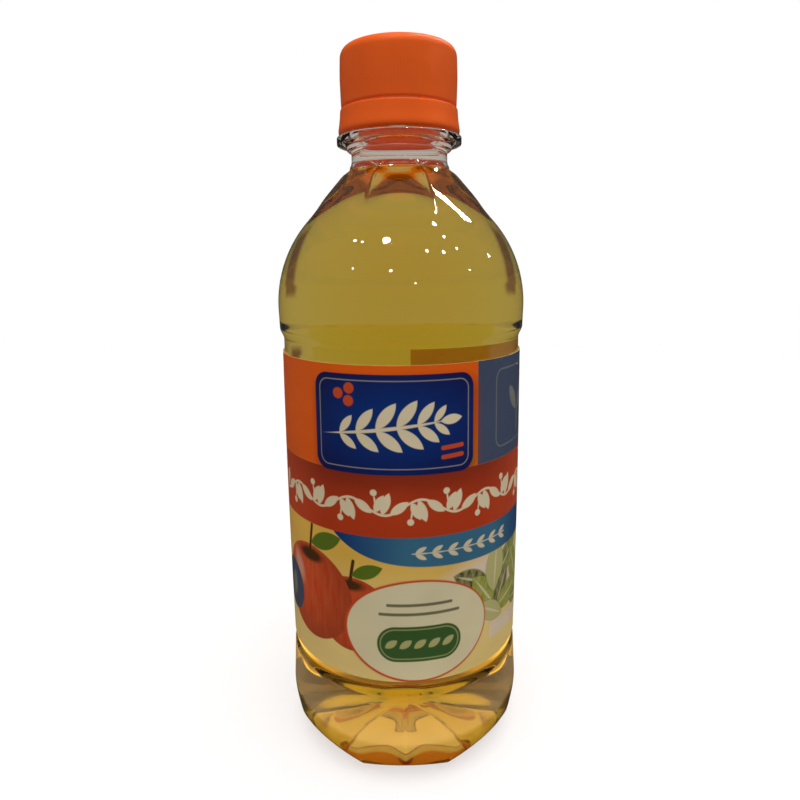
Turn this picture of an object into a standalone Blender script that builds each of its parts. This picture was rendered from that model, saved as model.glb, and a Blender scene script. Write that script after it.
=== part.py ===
"""A shut PET bottle of vinegar: bottle, vinegar, screw closure and wrap label.

The bottle stands on the floor plane z = 0 with its axis on Z, and the middle of the label faces -Y.
Its shoulder and its heel have eight shallow flutes with ridges between them, and its label panel is
recessed.
"""

import math

import bmesh
import bpy

MM = 0.001

# Driving sizes of the bottle
FLUTES = 8
BODY_RADIUS = 33.5 * MM
PANEL_RADIUS = 32.35 * MM
PANEL_BULGE = 0.3 * MM
NECK_RADIUS = 12.75 * MM
BORE_RADIUS = 10.87 * MM
WALL = 0.6 * MM
BASE_WALL = 0.9 * MM

# Heights above the floor
BASE_WIDEST_Z = 14.3 * MM
LOWER_STEP_Z = (25.8 * MM, 28.8 * MM)
LABEL_Z = (30.5 * MM, 112.45 * MM)
UPPER_STEP_Z = (115.8 * MM, 118.8 * MM)
SHOULDER_Z = 124.3 * MM
NECK_BASE_Z = 160.2 * MM
FILL_Z = 159.6 * MM
RING_TOP_Z = 168.0 * MM
MOUTH_Z = 186.8 * MM
CAP_TOP_Z = 189.8 * MM

# Foot: the flat ring that the bottle stands on, and the push-up inside it
FOOT_OUTER = 24.6 * MM
FOOT_INNER = 21.5 * MM
PUSH_UP = 7.0 * MM
RIB_DEPTH = 1.0 * MM

# Flutes: how far ridges stand out and hollows go in, and the heights over which each set fades in and out
SHOULDER_FLUTES = (1.0 * MM, 0.4 * MM)
SHOULDER_FLUTES_Z = (145.0 * MM, 153.0 * MM, 157.5 * MM, 160.2 * MM)
HEEL_FLUTES = (0.7 * MM, 0.6 * MM)
HEEL_FLUTES_Z = (-2.0 * MM, -1.0 * MM, 2.0 * MM, 11.0 * MM)

# Shoulder: a dome that runs into a cone of this half angle, measured from the axis
CONE_ANGLE = math.radians(41.5)
DOME_RADIUS = 33.3 * MM

# Neck finish for a 28 mm screw closure
THREAD_PITCH = 3.18 * MM
THREAD_CREST = 13.7 * MM
THREAD_ROOT = 12.47 * MM
THREAD_START_Z = 177.6 * MM
THREAD_TURNS = 1.6

# Closure
CAP_BORE = 14.05 * MM
CAP_SKIRT_Z = 175.2 * MM
BAND_Z = (168.4 * MM, 174.85 * MM)
BRIDGES = 10

# Clearances between neighbours
GAP = 0.3 * MM
LABEL_GAP = 0.25 * MM
LABEL_THICKNESS = 0.2 * MM
# The label's two ends leave this part of the back bare, as angles seen from above, from the front
LABEL_ENDS = (math.radians(213.0), math.radians(177.0))

BOTTLE_SIDES = 4 * FLUTES
CAP_SIDES = 64
BAND_SIDES = 64
THREAD_STEPS = 24


def clear_scene():
    for obj in list(bpy.data.objects):
        bpy.data.objects.remove(obj)


def material(name, colour, roughness, alpha=1.0):
    made = bpy.data.materials.new(name)
    made.use_nodes = True
    shader = made.node_tree.nodes["Principled BSDF"]
    shader.inputs["Base Color"].default_value = (*colour, 1.0)
    shader.inputs["Roughness"].default_value = roughness
    shader.inputs["Metallic"].default_value = 0.0
    shader.inputs["Alpha"].default_value = alpha
    return made


def smoothstep(value, low, high):
    share = min(1.0, max(0.0, (value - low) / (high - low)))
    return share * share * (3.0 - 2.0 * share)


def window(value, limits):
    """Rises from 0 to 1 between the first two limits, and falls back between the last two."""
    fade_in = smoothstep(value, limits[0], limits[1])
    fade_out = 1.0 - smoothstep(value, limits[2], limits[3])
    return fade_in * fade_out


def hollow(angle):
    """1 in the middle of each flute and 0 on the ridges between them; a flute faces the front."""
    pitch = 2.0 * math.pi / FLUTES
    offset = (angle / pitch + 0.5) % 1.0 - 0.5
    return 1.0 - (2.0 * offset) ** 2


def bottle_wave(radius, z, angle):
    """Pushes a point of the turned bottle out on the ridges, in on the flutes, and down in the base's ribs."""
    push = 0.0
    for (ridge, depth), heights in ((SHOULDER_FLUTES, SHOULDER_FLUTES_Z), (HEEL_FLUTES, HEEL_FLUTES_Z)):
        push += window(z, heights) * (ridge - (ridge + depth) * hollow(angle))
    if z < BASE_WIDEST_Z:
        push *= smoothstep(radius, FOOT_INNER, FOOT_OUTER)
    under_base = z < PUSH_UP + 2.0 * BASE_WALL and radius < FOOT_INNER
    rib = RIB_DEPTH * window(radius, (0.15 * FOOT_INNER, 0.5 * FOOT_INNER, 0.6 * FOOT_INNER, FOOT_INNER))
    drop = rib * hollow(angle + math.pi / FLUTES) if under_base else 0.0
    return radius + push, z - drop


def turned_point(radius, z, angle):
    """Angle 0 faces the front, -Y, and grows towards +X."""
    return (radius * math.sin(angle), -radius * math.cos(angle), z)


def turn(name, outline, sides, wave=None, closed_loop=False):
    """Turns an outline of (radius, z) about Z. It runs from axis to axis, or is a closed loop.

    The outline goes round the section anticlockwise, with the axis on its left hand side.
    """
    mesh = bmesh.new()
    rings = []
    for radius, z in outline:
        if radius == 0.0:
            rings.append([mesh.verts.new((0.0, 0.0, z))])
            continue
        ring = []
        for step in range(sides):
            angle = 2.0 * math.pi * step / sides
            at = wave(radius, z, angle) if wave else (radius, z)
            ring.append(mesh.verts.new(turned_point(*at, angle)))
        rings.append(ring)
    pairs = list(zip(rings, rings[1:] + rings[:1])) if closed_loop else list(zip(rings, rings[1:]))
    for low, high in pairs:
        for step in range(sides):
            after = (step + 1) % sides
            if len(low) == 1:
                mesh.faces.new((low[0], high[after], high[step]))
            elif len(high) == 1:
                mesh.faces.new((low[step], low[after], high[0]))
            else:
                mesh.faces.new((low[step], low[after], high[after], high[step]))
    return finish_mesh(name, mesh)


def finish_mesh(name, mesh):
    bmesh.ops.recalc_face_normals(mesh, faces=mesh.faces)
    data = bpy.data.meshes.new(name)
    mesh.to_mesh(data)
    mesh.free()
    data.shade_smooth()
    data.set_sharp_from_angle(angle=math.radians(35.0))
    obj = bpy.data.objects.new(name, data)
    bpy.context.scene.collection.objects.link(obj)
    return obj


def arc(centre_r, centre_z, radius_r, radius_z, start, end, steps):
    """Points of an elliptic arc in the section. 0 degrees points outwards and 90 upwards."""
    points = []
    for step in range(steps + 1):
        angle = math.radians(start + (end - start) * step / steps)
        points.append((centre_r + radius_r * math.cos(angle), centre_z + radius_z * math.sin(angle)))
    return points


def step_curve(low, high, steps=3):
    """A smooth S from the (radius, z) low to the (radius, z) high."""
    points = []
    for step in range(steps + 1):
        share = step / steps
        z = low[1] + (high[1] - low[1]) * share
        points.append((low[0] + (high[0] - low[0]) * smoothstep(share, 0.0, 1.0), z))
    return points


def push_up(lift, inner_radius, steps=4):
    """The dome under the base, from the axis out to the foot."""
    points = []
    for step in range(steps):
        share = step / steps
        points.append((inner_radius * share, lift + PUSH_UP * (1.0 - share * share) ** 1.3))
    return points


def panel(radius, steps=6):
    """The recessed label panel, a little barrel shaped."""
    low, high = LOWER_STEP_Z[1], UPPER_STEP_Z[0]
    points = []
    for step in range(1, steps):
        share = step / steps
        points.append((radius + PANEL_BULGE * math.sin(math.pi * share), low + (high - low) * share))
    return points


def shoulder(inset):
    """The dome and the cone above it, offset inwards by inset."""
    centre_r = BODY_RADIUS - DOME_RADIUS
    radius = DOME_RADIUS - inset
    dome = arc(centre_r, SHOULDER_Z, radius, radius, 0.0, math.degrees(CONE_ANGLE), 6)
    tangent_r, tangent_z = dome[-1]
    cone = []
    for share in (0.17, 0.34, 0.5, 0.62, 0.74, 0.86, 1.0):
        z = tangent_z + (NECK_BASE_Z - 0.5 * MM - inset - tangent_z) * share
        cone.append((tangent_r - (z - tangent_z) * math.tan(CONE_ANGLE), z))
    return dome + cone


def body(inset):
    """The outline from the widest point of the base up to the top of the shoulder."""
    base = BODY_RADIUS - inset
    points = [(base - 0.55 * MM, LOWER_STEP_Z[0] - 1.0 * MM)]
    points += step_curve(
        (base - 0.6 * MM, LOWER_STEP_Z[0]), (PANEL_RADIUS - inset, LOWER_STEP_Z[1]), 2
    )
    points += panel(PANEL_RADIUS - inset)
    points += step_curve(
        (PANEL_RADIUS - inset, UPPER_STEP_Z[0]), (base - 0.15 * MM, UPPER_STEP_Z[1])
    )
    return points + shoulder(inset)


def neck_finish():
    """The outside of the neck: support ring, locking bead and threaded land, up to the mouth."""
    ring_outer = 16.5 * MM
    ring_under_z = RING_TOP_Z - 3.6 * MM
    points = [(NECK_RADIUS + 0.35 * MM, NECK_BASE_Z + 0.8 * MM), (NECK_RADIUS, NECK_BASE_Z + 3.0 * MM)]
    points += [(NECK_RADIUS, ring_under_z), (ring_outer - 1.1 * MM, RING_TOP_Z - 1.8 * MM)]
    points += [(ring_outer, RING_TOP_Z - 1.0 * MM), (ring_outer, RING_TOP_Z - 0.35 * MM)]
    points += [(ring_outer - 0.3 * MM, RING_TOP_Z), (THREAD_ROOT + 0.1 * MM, RING_TOP_Z)]
    bead_z = RING_TOP_Z + 3.8 * MM
    points += [(THREAD_ROOT, bead_z - 1.3 * MM), (14.0 * MM, bead_z - 0.3 * MM), (14.0 * MM, bead_z + 0.2 * MM)]
    points += [(THREAD_ROOT, bead_z + 1.5 * MM), (THREAD_ROOT, MOUTH_Z - 1.0 * MM)]
    points += [(THREAD_ROOT - 0.6 * MM, MOUTH_Z), (BORE_RADIUS + 0.25 * MM, MOUTH_Z)]
    return points


def heel(inset, lift, steps=7):
    """The rounded heel from the foot up to the widest point, an ellipse in section."""
    height = BASE_WIDEST_Z - lift
    width = BODY_RADIUS - FOOT_OUTER - inset
    return arc(FOOT_OUTER, BASE_WIDEST_Z, width, height, -90.0, 0.0, steps)


def bottle_outline():
    outside = push_up(0.0, FOOT_INNER) + [(FOOT_INNER, 0.0)]
    outside += heel(0.0, 0.0) + body(0.0) + neck_finish()
    return outside + list(reversed(cavity_outline(0.0))) + [(0.0, PUSH_UP + BASE_WALL)]


def cavity_outline(gap):
    """The bottle's inner wall from beside the axis up to the mouth, drawn in by gap."""
    lift = BASE_WALL + gap
    inset = WALL + gap
    inside = push_up(lift, FOOT_INNER)[1:] + [(FOOT_INNER, lift)]
    inside += heel(inset, lift) + body(inset)
    inside += [(BORE_RADIUS - gap, NECK_BASE_Z + 1.4 * MM)]
    return inside + [(BORE_RADIUS - gap, MOUTH_Z - 0.3 * MM)]


def vinegar_outline():
    """The vinegar fills the cavity up to the fill level, just below the neck."""
    below = [point for point in cavity_outline(GAP) if point[1] < FILL_Z - 0.2 * MM]
    surface_radius = below[-1][0] - (FILL_Z - below[-1][1]) * math.tan(CONE_ANGLE)
    return [(0.0, PUSH_UP + BASE_WALL + GAP)] + below + [(surface_radius, FILL_Z), (0.0, FILL_Z)]


def helix(name, root, crest, start_z, turns, base_width, crest_width):
    """A screw thread: a tapered ridge from radius root out to, or in to, radius crest."""
    mesh = bmesh.new()
    steps = int(THREAD_STEPS * turns)
    sections = []
    for step in range(steps + 1):
        angle = 2.0 * math.pi * step / THREAD_STEPS
        z = start_z + THREAD_PITCH * step / THREAD_STEPS
        run_out = min(1.0, step / 3.0 + 0.15, (steps - step) / 3.0 + 0.15)
        tip = root + (crest - root) * run_out
        corners = (
            (root, z - base_width / 2.0),
            (tip, z - crest_width / 2.0),
            (tip, z + crest_width / 2.0),
            (root, z + base_width / 2.0),
        )
        sections.append([mesh.verts.new(turned_point(radius, at, angle)) for radius, at in corners])
    for first, second in zip(sections, sections[1:]):
        for corner in range(4):
            after = (corner + 1) % 4
            mesh.faces.new((first[corner], first[after], second[after], second[corner]))
    mesh.faces.new(sections[0])
    mesh.faces.new(list(reversed(sections[-1])))
    return finish_mesh(name, mesh)


def block(name, radius, angle, z, width, depth, height):
    """A small block with its long side up, centred on that radius and angle."""
    mesh = bmesh.new()
    bmesh.ops.create_cube(mesh, size=1.0)
    bmesh.ops.scale(mesh, vec=(width, depth, height), verts=mesh.verts)
    obj = finish_mesh(name, mesh)
    obj.location = turned_point(radius, z, angle)
    obj.rotation_euler = (0.0, 0.0, angle)
    return obj


def fuse(target, additions):
    """Joins the additions to the target as one body, and removes them."""
    group = bpy.data.collections.new(target.name + "_additions")
    bpy.context.scene.collection.children.link(group)
    for obj in additions:
        bpy.context.scene.collection.objects.unlink(obj)
        group.objects.link(obj)
    union = target.modifiers.new("join", "BOOLEAN")
    union.operation = "UNION"
    union.operand_type = "COLLECTION"
    union.collection = group
    graph = bpy.context.evaluated_depsgraph_get()
    joined = bpy.data.meshes.new_from_object(target.evaluated_get(graph))
    target.modifiers.clear()
    target.data = joined
    for obj in additions:
        bpy.data.objects.remove(obj)
    bpy.data.collections.remove(group)


def make_bottle():
    bottle = turn("bottle", bottle_outline(), BOTTLE_SIDES, bottle_wave)
    overlap = 0.3 * MM
    thread = helix(
        "neck_thread", THREAD_ROOT - overlap, THREAD_CREST, THREAD_START_Z, THREAD_TURNS, 2.1 * MM, 0.8 * MM
    )
    fuse(bottle, [thread])
    bottle.data.materials.clear()
    bottle.data.materials.append(material("clear_pet", (0.93, 0.95, 0.93), 0.05, 0.25))
    return bottle


def make_vinegar():
    vinegar = turn("vinegar", vinegar_outline(), BOTTLE_SIDES, bottle_wave)
    vinegar.data.materials.append(material("vinegar", (0.62, 0.42, 0.05), 0.05, 0.8))
    return vinegar


def cap_outline():
    crown_inside = MOUTH_Z + GAP
    rounding = 2.0 * MM
    edge = arc(15.2 * MM - rounding, CAP_TOP_Z - rounding, rounding, rounding, 0.0, 90.0, 4)
    outline = [(0.0, crown_inside), (CAP_BORE, crown_inside), (CAP_BORE, CAP_SKIRT_Z)]
    outline += [(15.05 * MM, CAP_SKIRT_Z), (15.2 * MM, CAP_SKIRT_Z + 0.6 * MM)]
    outline += [(15.35 * MM, CAP_SKIRT_Z + 7.0 * MM)]
    return outline + edge + [(0.0, CAP_TOP_Z)]


def band_outline():
    """The tamper band's closed section, flared at its lower edge."""
    low, high = BAND_Z
    outline = [(14.35 * MM, high), (14.35 * MM, low + 0.9 * MM), (14.8 * MM, low + 0.1 * MM)]
    outline += [(15.6 * MM, low), (15.95 * MM, low + 0.5 * MM), (16.0 * MM, low + 1.2 * MM)]
    return outline + [(15.8 * MM, low + 2.6 * MM), (15.5 * MM, high - 2.0 * MM), (15.42 * MM, high)]


def make_closure():
    """The cap, its tamper band and the bridges between them are one moulding."""
    cap = turn("cap", cap_outline(), CAP_SIDES)
    band = turn("band", band_outline(), BAND_SIDES, closed_loop=True)
    slit = CAP_SKIRT_Z - BAND_Z[1]
    bridges = []
    for number in range(BRIDGES):
        angle = 2.0 * math.pi * (number + 0.6) / BRIDGES
        z = BAND_Z[1] + slit / 2.0
        bridges.append(block("bridge", 14.75 * MM, angle, z, 0.8 * MM, 0.5 * MM, slit + 0.8 * MM))
    thread = helix(
        "cap_thread",
        CAP_BORE + 0.3 * MM,
        12.95 * MM,
        THREAD_START_Z + THREAD_PITCH / 2.0,
        1.2,
        1.5 * MM,
        0.6 * MM,
    )
    fuse(cap, [band, thread] + bridges)
    cap.data.materials.clear()
    cap.data.materials.append(material("orange_cap", (0.72, 0.12, 0.015), 0.35))
    return cap


def make_label():
    """A wrap label round the panel. Its ends stop short of each other at the back."""
    inner = PANEL_RADIUS + LABEL_GAP
    start, end = LABEL_ENDS[0] - 2.0 * math.pi, LABEL_ENDS[1]
    steps_up = 6
    sides = BOTTLE_SIDES - 4
    mesh = bmesh.new()
    skins = []
    for offset in (0.0, LABEL_THICKNESS):
        rows = []
        for row in range(steps_up + 1):
            z = LABEL_Z[0] + (LABEL_Z[1] - LABEL_Z[0]) * row / steps_up
            up_panel = (z - LOWER_STEP_Z[1]) / (UPPER_STEP_Z[0] - LOWER_STEP_Z[1])
            radius = inner + offset + PANEL_BULGE * math.sin(math.pi * up_panel)
            angles = [start + (end - start) * side / sides for side in range(sides + 1)]
            rows.append([mesh.verts.new(turned_point(radius, z, angle)) for angle in angles])
        skins.append(rows)
    back, face = skins
    for rows, flipped in ((face, False), (back, True)):
        for low, high in zip(rows, rows[1:]):
            for side in range(sides):
                corners = (low[side], low[side + 1], high[side + 1], high[side])
                mesh.faces.new(reversed(corners) if flipped else corners)
    for row in (0, steps_up):
        for side in range(sides):
            mesh.faces.new((back[row][side], back[row][side + 1], face[row][side + 1], face[row][side]))
    for side in (0, sides):
        for row in range(steps_up):
            mesh.faces.new((back[row][side], back[row + 1][side], face[row + 1][side], face[row][side]))
    label = finish_mesh("label", mesh)
    label.data.materials.append(material("printed_label", (0.62, 0.16, 0.03), 0.45))
    return label


def main():
    clear_scene()
    make_bottle()
    make_vinegar()
    make_closure()
    make_label()


main()
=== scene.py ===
"""Looks for the shut bottle of vinegar: clear bottle, golden vinegar, orange cap and wrap label."""

import math

import bmesh
import bpy
from mathutils import Matrix, Vector


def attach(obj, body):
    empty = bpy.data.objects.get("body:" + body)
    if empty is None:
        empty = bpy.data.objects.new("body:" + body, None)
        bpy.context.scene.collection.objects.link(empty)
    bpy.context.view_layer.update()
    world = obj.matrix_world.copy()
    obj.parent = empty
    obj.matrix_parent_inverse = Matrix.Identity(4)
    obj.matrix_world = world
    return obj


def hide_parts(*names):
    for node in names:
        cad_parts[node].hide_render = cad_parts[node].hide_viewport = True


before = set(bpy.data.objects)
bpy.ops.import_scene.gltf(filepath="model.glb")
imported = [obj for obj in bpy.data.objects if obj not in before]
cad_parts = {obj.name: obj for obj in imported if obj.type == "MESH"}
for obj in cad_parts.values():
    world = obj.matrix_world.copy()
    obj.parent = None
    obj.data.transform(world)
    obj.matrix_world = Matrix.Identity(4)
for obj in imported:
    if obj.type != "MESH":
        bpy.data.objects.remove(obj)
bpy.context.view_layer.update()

MM = 0.001

# The same named sizes as the solids
FLUTES = 8
BODY_RADIUS = 33.5 * MM
PANEL_RADIUS = 32.35 * MM
PANEL_BULGE = 0.3 * MM
NECK_RADIUS = 12.75 * MM
RING_OUTER = 16.5 * MM
COLLAR_OUTER = 13.9 * MM
BEAD_OUTER = 14.0 * MM
BORE_RADIUS = 10.87 * MM
WALL = 0.6 * MM
BASE_WALL = 0.9 * MM
BASE_WIDEST_Z = 14.3 * MM
LOWER_STEP_Z = (25.8 * MM, 28.8 * MM)
LABEL_Z = (30.5 * MM, 112.45 * MM)
UPPER_STEP_Z = (115.8 * MM, 118.8 * MM)
SHOULDER_Z = 124.3 * MM
NECK_BASE_Z = 160.2 * MM
FILL_Z = 159.6 * MM
RING_TOP_Z = 168.0 * MM
MOUTH_Z = 186.8 * MM
CAP_TOP_Z = 189.8 * MM
FOOT_OUTER = 24.6 * MM
FOOT_INNER = 21.5 * MM
PUSH_UP = 7.0 * MM
RIB_DEPTH = 1.0 * MM
SHOULDER_FLUTES = (1.0 * MM, 0.4 * MM)
SHOULDER_FLUTES_Z = (145.0 * MM, 153.0 * MM, 157.5 * MM, 160.2 * MM)
HEEL_FLUTES = (0.7 * MM, 0.6 * MM)
HEEL_FLUTES_Z = (-2.0 * MM, -1.0 * MM, 2.0 * MM, 11.0 * MM)
CONE_ANGLE = math.radians(41.5)
DOME_RADIUS = 33.3 * MM
THREAD_ROOT = 12.47 * MM
CAP_BORE = 14.05 * MM
CAP_SKIRT_Z = 175.2 * MM
BAND_Z = (168.4 * MM, 174.85 * MM)
BRIDGES = 10
LABEL_GAP = 0.25 * MM
LABEL_THICKNESS = 0.2 * MM
LABEL_ENDS = (math.radians(213.0), math.radians(177.0))

# How finely the pieces are made, and how far the vinegar reaches into the wall
BOTTLE_SIDES = 192
CAP_RIBS = 120
CAP_RIB_DEPTH = 0.03 * MM
INTO_WALL = 0.08 * MM

# Inks of the label, as linear colours
ORANGE = (0.80, 0.130, 0.005, 1.0)
GOLDEN = (0.66, 0.230, 0.008, 1.0)
NAVY = (0.006, 0.006, 0.085, 1.0)
DEEP_BLUE = (0.001, 0.032, 0.230, 1.0)
STEEL = (0.042, 0.175, 0.33, 1.0)
SLATE = (0.058, 0.092, 0.185, 1.0)
PALE_SLATE = (0.20, 0.23, 0.24, 1.0)
BRICK = (0.47, 0.052, 0.014, 1.0)
BRIGHT_BRICK = (0.58, 0.078, 0.024, 1.0)
DARK_BRICK = (0.26, 0.032, 0.012, 1.0)
CREAM = (0.76, 0.74, 0.56, 1.0)
PALE_YELLOW = (0.78, 0.68, 0.30, 1.0)
STRAW = (0.76, 0.53, 0.10, 1.0)
WHITE_INK = (0.74, 0.70, 0.60, 1.0)
FLESH = (0.72, 0.74, 0.54, 1.0)
APPLE_RED = (0.62, 0.062, 0.014, 1.0)
APPLE_BLUSH = (0.66, 0.20, 0.08, 1.0)
APPLE_SHADE = (0.26, 0.050, 0.022, 1.0)
BARK = (0.07, 0.032, 0.010, 1.0)
BOTTLE_GREEN = (0.040, 0.125, 0.036, 1.0)
LEAF_GREEN = (0.25, 0.34, 0.022, 1.0)
MID_GREEN = (0.10, 0.19, 0.018, 1.0)
DARK_GREEN = (0.035, 0.055, 0.012, 1.0)
PALE_GREEN = (0.50, 0.54, 0.26, 1.0)
LINE_GREEN = (0.30, 0.36, 0.16, 1.0)

# Levels and edges on the label, in mm: along from the middle of the front, and up from its lower edge
FACE_RADIUS = 33.0
FACE_START = FACE_RADIUS * (LABEL_ENDS[0] - 2.0 * math.pi)
FACE_LENGTH = FACE_RADIUS * LABEL_ENDS[1] - FACE_START
FACE_HEIGHT = (LABEL_Z[1] - LABEL_Z[0]) / MM
RED_BAND = (39.4, 56.0)
BLUE_TIP = -18.5
BLUE_LOW = 31.0
SLATE_EDGES = (19.7, 58.0)
SOFT_EDGE = 0.12

# Light of the room, through the bottle and in its gloss: its tint level with the bottle and higher up
ROOM = 0.425
GLOSS_ROOM = 0.05
LEVEL_ROOM = (1.0, 0.97, 0.90, 1.0)
HIGH_ROOM = (1.6, 1.2, 0.86, 1.0)
HIGH_ROOM_Z = (0.15, 0.45)

# Light of the floor through the bottle, which changes from near to far between these distances, in metres
FLOOR_RADIUS = 0.8
NEAR_FLOOR = (0.72, 0.46, 0.16, 1.0)
FAR_FLOOR = (ROOM, ROOM * 0.97, ROOM * 0.92, 1.0)
NEAR_TO_FAR = (0.03, 0.15)
# A painted shadow in a dark ring and painted light in a bright ring on the floor round the foot: middle
# radius, half width and width of the fade
FOOT_SHADOW = (0.028, 0.008, 0.0025)
FOOT_SHADOW_LIGHT = (0.28, 0.18, 0.08, 1.0)
BRIGHT_RING = (0.057, 0.018, 0.005)
BRIGHT_RING_LIGHT = (3.2, 2.06, 0.95, 1.0)
# The floor is dark in front: the turn from straight behind and the distance at which that begins
DARK_FLOOR = (0.14, 0.075, 0.04, 1.0)
DARK_FRONT_TURN = (1.5, 1.6)
DARK_FRONT_FROM = (0.048, 0.088)
# It is also dark in two sectors behind, as the room is there below the horizon: middle, half width and fade
DARK_SIDES = (0.62, 0.13, 0.06)
DARK_SIDES_FROM = (0.22, 0.27)
DARK_SIDES_BELOW = (-0.1, -0.125)

# Camera: its place in metres, how far it looks down and leans, its lens in mm and its shift
CAMERA_PLACE = (0.0, -0.17717, 0.1373)
CAMERA_DOWN = math.radians(10.896)
CAMERA_LEAN = math.radians(-0.6)
CAMERA_LENS = 28.52
CAMERA_SHIFT = (-0.0021, -0.0270)

# Spots on the ceiling, in metres: to the right, away from the viewer, and radius
CEILING = 2.0
CEILING_SPOTS = (
    (-1.3, -0.6, 0.05),
    (-1.1, -0.8, 0.04),
    (-0.4, -1.0, 0.12),
    (0.9, -1.4, 0.05),
    (1.5, -1.2, 0.06),
    (1.9, -0.7, 0.05),
    (1.2, -0.5, 0.04),
    (-2.3, -2.0, 0.04),
    (-0.5, -2.9, 0.06),
    (1.1, -4.6, 0.07),
    (0.6, 0.4, 0.10),
    (0.8, -0.2, 0.06),
    (1.5, 1.1, 0.14),
    (3.6, 0.9, 0.09),
    (3.7, -1.3, 0.06),
)


# Shapes


def smoothstep(value, low, high):
    share = min(1.0, max(0.0, (value - low) / (high - low)))
    return share * share * (3.0 - 2.0 * share)


def window(value, limits):
    return smoothstep(value, limits[0], limits[1]) * (1.0 - smoothstep(value, limits[2], limits[3]))


def hollow(angle):
    """1 in the middle of each flute and 0 on the ridges between them; a flute faces the front."""
    pitch = 2.0 * math.pi / FLUTES
    offset = (angle / pitch + 0.5) % 1.0 - 0.5
    return 1.0 - (2.0 * offset) ** 2


def bottle_wave(radius, z, angle):
    """Moves a point of the turned bottle out on the ridges, in on the flutes and down in the base's ribs."""
    push = 0.0
    for (ridge, depth), heights in ((SHOULDER_FLUTES, SHOULDER_FLUTES_Z), (HEEL_FLUTES, HEEL_FLUTES_Z)):
        push += window(z, heights) * (ridge - (ridge + depth) * hollow(angle))
    if z < BASE_WIDEST_Z:
        push *= smoothstep(radius, FOOT_INNER, FOOT_OUTER)
    under_base = z < PUSH_UP + 2.0 * BASE_WALL and radius < FOOT_INNER
    rib = RIB_DEPTH * window(radius, (0.15 * FOOT_INNER, 0.5 * FOOT_INNER, 0.6 * FOOT_INNER, FOOT_INNER))
    drop = rib * hollow(angle + math.pi / FLUTES) if under_base else 0.0
    return radius + push, z - drop


def turned_point(radius, z, angle):
    return (radius * math.sin(angle), -radius * math.cos(angle), z)


def make_object(name, mesh, sharp=35.0):
    bmesh.ops.recalc_face_normals(mesh, faces=mesh.faces)
    data = bpy.data.meshes.new(name)
    mesh.to_mesh(data)
    mesh.free()
    data.shade_smooth()
    data.set_sharp_from_angle(angle=math.radians(sharp))
    obj = bpy.data.objects.new(name, data)
    bpy.context.scene.collection.objects.link(obj)
    return obj


def turn_into(mesh, outline, sides, wave=None, closed_loop=False):
    rings = []
    for radius, z in outline:
        if radius == 0.0:
            rings.append([mesh.verts.new((0.0, 0.0, z))])
            continue
        ring = []
        for step in range(sides):
            angle = 2.0 * math.pi * step / sides
            at = wave(radius, z, angle) if wave else (radius, z)
            ring.append(mesh.verts.new(turned_point(*at, angle)))
        rings.append(ring)
    pairs = list(zip(rings, rings[1:] + rings[:1])) if closed_loop else list(zip(rings, rings[1:]))
    for low, high in pairs:
        for step in range(sides):
            after = (step + 1) % sides
            if len(low) == 1:
                mesh.faces.new((low[0], high[after], high[step]))
            elif len(high) == 1:
                mesh.faces.new((low[step], low[after], high[0]))
            else:
                mesh.faces.new((low[step], low[after], high[after], high[step]))


def arc(centre_r, centre_z, radius_r, radius_z, start, end, steps):
    points = []
    for step in range(steps + 1):
        angle = math.radians(start + (end - start) * step / steps)
        points.append((centre_r + radius_r * math.cos(angle), centre_z + radius_z * math.sin(angle)))
    return points


def step_curve(low, high, steps=10):
    points = []
    for step in range(steps + 1):
        share = step / steps
        z = low[1] + (high[1] - low[1]) * share
        points.append((low[0] + (high[0] - low[0]) * smoothstep(share, 0.0, 1.0), z))
    return points


def push_up(lift, inner_radius, steps=16):
    points = []
    for step in range(steps):
        share = step / steps
        points.append((inner_radius * share, lift + PUSH_UP * (1.0 - share * share) ** 1.3))
    return points


def panel(radius, steps=10):
    low, high = LOWER_STEP_Z[1], UPPER_STEP_Z[0]
    points = []
    for step in range(1, steps):
        share = step / steps
        points.append((radius + PANEL_BULGE * math.sin(math.pi * share), low + (high - low) * share))
    return points


def shoulder(inset):
    centre_r = BODY_RADIUS - DOME_RADIUS
    radius = DOME_RADIUS - inset
    dome = arc(centre_r, SHOULDER_Z, radius, radius, 0.0, math.degrees(CONE_ANGLE), 24)
    tangent_r, tangent_z = dome[-1]
    cone = []
    for step in range(1, 25):
        z = tangent_z + (NECK_BASE_Z - 0.5 * MM - inset - tangent_z) * step / 24
        cone.append((tangent_r - (z - tangent_z) * math.tan(CONE_ANGLE), z))
    return dome + cone


def body(inset):
    base = BODY_RADIUS - inset
    points = [(base - 0.55 * MM, LOWER_STEP_Z[0] - 1.0 * MM)]
    points += step_curve((base - 0.6 * MM, LOWER_STEP_Z[0]), (PANEL_RADIUS - inset, LOWER_STEP_Z[1]))
    points += panel(PANEL_RADIUS - inset)
    points += step_curve((PANEL_RADIUS - inset, UPPER_STEP_Z[0]), (base - 0.15 * MM, UPPER_STEP_Z[1]))
    return points + shoulder(inset)


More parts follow.
